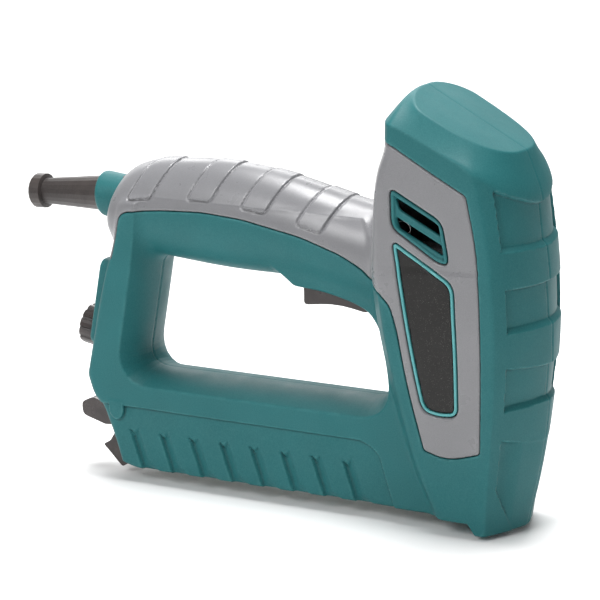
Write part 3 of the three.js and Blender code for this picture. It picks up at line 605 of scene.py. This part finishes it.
class Nodes:
    """A small builder for procedural materials on object coordinates, in metres."""

    def __init__(self, name):
        self.material = bpy.data.materials.new(name)
        self.material.use_nodes = True
        self.tree = self.material.node_tree
        self.shader = self.tree.nodes["Principled BSDF"]
        self.place = self.add("ShaderNodeTexCoord").outputs["Object"]

    def add(self, kind, links=(), **values):
        node = self.tree.nodes.new(kind)
        for key, value in values.items():
            if key in node.inputs:
                node.inputs[key].default_value = value
            else:
                setattr(node, key, value)
        for socket, source in links:
            self.tree.links.new(source, node.inputs[socket])
        return node

    def scalar(self, name, value):
        self.shader.inputs[name].default_value = value

    def noise(self, size, detail=2.0, rough=0.5, stretch=None):
        """Noise whose features are about the given size in mm."""
        place = self.place
        if stretch:
            place = self.add("ShaderNodeMapping", [("Vector", place)], Scale=stretch).outputs["Vector"]
        node = self.add("ShaderNodeTexNoise", [("Vector", place)], Scale=1 / (size * MM), Detail=detail,
                        Roughness=rough)
        return node.outputs["Fac"]

    def spread(self, source, low, high, to_low, to_high):
        node = self.add("ShaderNodeMapRange", [("Value", source)])
        limits = {"From Min": low, "From Max": high, "To Min": to_low, "To Max": to_high}
        for socket, value in limits.items():
            node.inputs[socket].default_value = value
        return node.outputs["Result"]

    def mix(self, factor, first, second):
        node = self.add("ShaderNodeMix", [("Factor", factor)], data_type="RGBA")
        for index, value in ((6, first), (7, second)):
            if isinstance(value, tuple):
                node.inputs[index].default_value = value + (1,)
            else:
                self.tree.links.new(value, node.inputs[index])
        return node.outputs[2]

    def times(self, first, second, operation="MULTIPLY"):
        node = self.add("ShaderNodeMath", operation=operation)
        for index, value in enumerate((first, second)):
            if isinstance(value, (int, float)):
                node.inputs[index].default_value = value
            else:
                self.tree.links.new(value, node.inputs[index])
        return node.outputs[0]

    def edges(self):
        """1 on convex edges, where highlights are painted, 0 elsewhere."""
        point = self.add("ShaderNodeNewGeometry").outputs["Pointiness"]
        return self.spread(point, *CONVEX_RANGE, 0, 1)

    def hollows(self):
        """1 in grooves and along inside corners, where shade is painted, 0 elsewhere."""
        point = self.add("ShaderNodeNewGeometry").outputs["Pointiness"]
        return self.spread(point, *HOLLOW_RANGE, 0, 1)

    def bump(self, heights, strength=0.5):
        """Bump from (height socket, depth in mm) pairs."""
        normal = None
        for height, depth in heights:
            links = [("Height", height)] + ([("Normal", normal)] if normal else [])
            node = self.add("ShaderNodeBump", links, Strength=strength, Distance=depth * MM)
            normal = node.outputs["Normal"]
        self.tree.links.new(normal, self.shader.inputs["Normal"])

    def connect(self, name, source):
        self.tree.links.new(source, self.shader.inputs[name])


def moulded(name, colour, light, rough, grain=0.55, depth=0.05, sheen=0.0, gloss=0.5, edge_highlight=0.6):
    """Spark-textured moulded plastic or rubber: fine grain, slow colour drift, painted shade in hollows and
    inside corners, and painted highlights on convex edges, which are also a little smoother.
    """
    n = Nodes(name)
    drift = n.spread(n.noise(38, 3), 0.3, 0.7, 0, 1)
    fine = n.noise(grain, 2, 0.6)
    specks = n.spread(fine, 0.35, 0.7, 0, 1)
    dark = tuple(c * 0.86 for c in colour)
    base = n.mix(drift, dark, colour)
    base = n.mix(n.times(specks, 0.28), base, light)
    # Painted highlight: convex edges are lightened towards the light colour, in patches; the same mask
    # makes those edges a little smoother.
    rub_and_highlight = n.times(n.edges(), n.spread(n.noise(5, 3), 0.35, 0.65, 0.2, 1))
    base = n.mix(n.times(rub_and_highlight, edge_highlight), base, light)
    # Painted shade: grooves and inside corners are darkened towards a third of the colour.
    base = n.mix(n.times(n.hollows(), 0.75), base, tuple(c * 0.35 for c in colour))
    n.connect("Base Color", base)
    smudge = n.spread(n.noise(16, 4, 0.6), 0.3, 0.7, rough - 0.05, rough + 0.07)
    n.connect("Roughness", n.times(smudge, n.times(rub_and_highlight, -0.1), "ADD"))
    n.scalar("Specular IOR Level", gloss)
    n.scalar("IOR", 1.5)
    if sheen:
        n.scalar("Sheen Weight", sheen)
        n.scalar("Sheen Roughness", 0.45)
    n.bump([(n.noise(2.6, 2), depth * 0.8), (fine, depth)])
    return n.material


def metal(name, colour, rough, stretch=(1, 1, 1), size=0.4):
    """Ground, drawn or plated metal with fine scratches along the stretch direction."""
    n = Nodes(name)
    scratch = n.noise(size, 3, 0.6, stretch)
    blotch = n.spread(n.noise(9, 3), 0.35, 0.65, 0, 1)
    base = n.mix(blotch, tuple(c * 0.82 for c in colour), colour)
    # Painted highlight: sharp convex edges are lightened towards a brighter copy of the colour.
    bright = tuple(min(1, c * 1.3) for c in colour)
    n.connect("Base Color", n.mix(n.times(n.edges(), 0.4), base, bright))
    n.connect("Roughness", n.spread(scratch, 0.3, 0.7, rough - 0.08, rough + 0.1))
    n.scalar("Metallic", 1.0)
    n.bump([(scratch, 0.02), (n.noise(4, 2), 0.03)])
    return n.material


def speckled(name, colour, fleck):
    """Charcoal label plate with fine flecks in it."""
    n = Nodes(name)
    cells = n.add("ShaderNodeTexVoronoi", [("Vector", n.place)], Scale=1 / (0.55 * MM)).outputs["Distance"]
    grains = n.spread(cells, 0.14, 0.3, 1, 0)
    patch = n.spread(n.noise(1.6, 2), 0.42, 0.62, 0.1, 0.8)
    base = n.mix(n.times(grains, patch), colour, fleck)
    faded = tuple(c * 1.6 for c in colour)
    n.connect("Base Color", n.mix(n.spread(n.noise(20, 3), 0.3, 0.7, 0, 0.3), base, faded))
    n.connect("Roughness", n.spread(n.noise(7, 4), 0.3, 0.7, 0.38, 0.5))
    n.scalar("Specular IOR Level", 0.25)
    n.bump([(grains, 0.015), (n.noise(3, 2), 0.02)])
    return n.material


TEAL = (0.009, 0.108, 0.116)
TEAL_LIGHT = (0.045, 0.19, 0.195)
MATERIALS = {
    "teal_plastic": moulded("teal_moulding", TEAL, TEAL_LIGHT, 0.52, grain=0.5, depth=0.06, gloss=0.26),
    "grip_grey": moulded("grey_grip", (0.165, 0.166, 0.175), (0.26, 0.26, 0.27), 0.3,
                         grain=0.3, depth=0.018, sheen=0.12, edge_highlight=0.2),
    "black_plastic": moulded("black_moulding", (0.014, 0.0095, 0.009), (0.05, 0.038, 0.036), 0.36,
                             grain=0.4, depth=0.03),
    "boot_rubber": moulded("boot_rubber", (0.018, 0.013, 0.012), (0.055, 0.044, 0.04), 0.5,
                           grain=0.7, depth=0.05, sheen=0.1),
    "steel": metal("ground_steel", (0.6, 0.61, 0.62), 0.3, (0.15, 1, 1)),
    "spring_steel": metal("spring_wire", (0.45, 0.46, 0.47), 0.32, (1, 1, 0.2), 0.25),
    "copper": metal("enamelled_copper", (0.5, 0.19, 0.08), 0.3, (1, 1, 6), 0.6),
    "zinc": metal("zinc_plate", (0.58, 0.58, 0.55), 0.36, (1, 1, 1), 1.2),
    "board": moulded("solder_resist", (0.03, 0.16, 0.07), (0.1, 0.3, 0.16), 0.35, grain=1.2, depth=0.02),
    "nylon": moulded("nylon", (0.62, 0.58, 0.49), (0.75, 0.72, 0.64), 0.45, grain=0.5, depth=0.02),
    "wire_black": moulded("vinyl_sheath", (0.02, 0.02, 0.02), (0.06, 0.06, 0.06), 0.4,
                          grain=0.5, depth=0.02),
    "label_plate": speckled("label_plate", (0.011, 0.0105, 0.01), (0.1, 0.095, 0.088)),
}
RIM_TEAL = moulded("label_rim", (0.05, 0.28, 0.29), (0.12, 0.4, 0.4), 0.36, grain=0.5, depth=0.02)
SLOTS = {m["slot"]: MATERIALS[m["slot"]] for m in frame["record"]["materials"]}


def slot_of(node):
    """The record's material slot of a CAD node, from the name of its imported material."""
    name = node.material_slots[0].material.name if node.material_slots else ""
    return next((slot for slot in SLOTS if name.startswith(slot)), "steel")


for node in frame["nodes"].values():
    finish = SLOTS[slot_of(node)]
    for material_slot in node.material_slots:
        material_slot.material = finish


# ---- the moulded pieces -----------------------------------------------------------------
def in_skin(x, y, z):
    """True for faces no deeper than SHELL below the outer form, except over the driver blade."""
    end = BLADE_WAY["middle"] + BLADE_WAY["high"]
    over_blade = ((np.abs(x - BLADE_WAY["centre"]) < BLADE_WAY["long"] + 0.2)
                  & (np.abs(y) < BLADE_WAY["half"] + 0.4) & (np.abs(z - end) < 1.2))
    return (body(x, y, z) > -SHELL) & ~over_blade


FINE = 0.75    # grid step of the large pieces, mm
DETAIL = FINE * 0.55             # grid step of the small ones


def build_shells():
    # Name, field, lower and upper corner of its box, material slot, CAD nodes it replaces, grid step.
    parts = [
        ("shell", housing_field, (-206, -34, 0.4), (22, 0, 180), "teal_plastic", ["housing"], FINE),
        ("grip_skin", grip_field, (-187, -34, 32), (4, 0, 176), "grip_grey", ["grip"], FINE),
        ("vent_frame", vent_field, (-40, -34, 112), (-10, -27, 145), "teal_plastic", ["vent_grille"],
         DETAIL),
        ("label_rim", rim_field, (-39, -34, 49), (-7, -24, 123), "teal_plastic", [], DETAIL),
        ("label_plate", label_field, (-38, -34, 50), (-8, -24, 122), "label_plate", ["label"], FINE),
    ]
    for name, field, low, high, slot, nodes, step in parts:
        to_seam = high[1] == 0
        shape = sculpt(field, low, high, step, in_skin, to_seam)
        material = RIM_TEAL if name == "label_rim" else MATERIALS[slot]
        both_sides(name, field, shape, step, material, nodes)


build_shells()


# ---- floor, light and camera ---------------------------------------------------------------
def studio():
    floor = bpy.data.meshes.new("floor")
    size = 4.0
    rows = [(-size, -size, 0), (size, -size, 0), (size, size, 0), (-size, size, 0)]
    floor.from_pydata(rows, [], [(0, 1, 2, 3)])
    ground = bpy.data.objects.new("floor", floor)
    bpy.context.scene.collection.objects.link(ground)
    paper = Nodes("floor_paper")
    paper.connect("Base Color", paper.mix(paper.noise(60, 3), (0.86, 0.86, 0.86), (0.9, 0.9, 0.9)))
    paper.connect("Roughness", paper.spread(paper.noise(4, 3), 0.3, 0.7, 0.75, 0.85))
    paper.scalar("Specular IOR Level", 0.2)
    paper.bump([(paper.noise(1.5, 2), 0.02)])
    floor.materials.append(paper.material)
    world = bpy.data.worlds.new("studio")
    bpy.context.scene.world = world
    world.use_nodes = True
    world.node_tree.nodes["Background"].inputs["Color"].default_value = (1, 1, 1, 1)
    world.node_tree.nodes["Background"].inputs["Strength"].default_value = 0.28
    middle = (-0.08, 0, 0.1)
    lamps = [("key", (-0.35, -1.1, 0.8), 0.5, 8.6, middle), ("top", (-0.1, 0.1, 1.2), 0.6, 22, middle),
             ("side", (1.1, -0.7, 0.5), 0.5, 1.2, middle), ("rear_fill", (-1.0, 0.9, 0.7), 1.0, 4, middle),
             ("backdrop", (-1.0, 2.0, 1.3), 1.6, 34, (-1.0, 2.0, 0))]
    for name, place, size, power, target in lamps:
        data = bpy.data.lights.new(name, "AREA")
        data.size = size
        data.energy = power
        lamp = bpy.data.objects.new(name, data)
        lamp.location = place
        lamp.rotation_euler = (Vector(target) - Vector(place)).to_track_quat("-Z", "Y").to_euler()
        bpy.context.scene.collection.objects.link(lamp)


def camera():
    azimuth, elevation, distance = math.radians(28), math.radians(13), 1.222
    target = Vector((-0.08196, -0.02513, 0.09111))
    away = Vector((math.sin(azimuth) * math.cos(elevation), -math.cos(azimuth) * math.cos(elevation),
                   math.sin(elevation)))
    data = bpy.data.cameras.new("camera")
    data.lens = 180
    data.sensor_width = 36
    eye = bpy.data.objects.new("camera", data)
    eye.location = target + away * distance
    eye.rotation_euler = away.to_track_quat("Z", "Y").to_euler()
    bpy.context.scene.collection.objects.link(eye)
    bpy.context.scene.camera = eye


studio()
camera()
bpy.context.scene.view_settings.view_transform = "Standard"
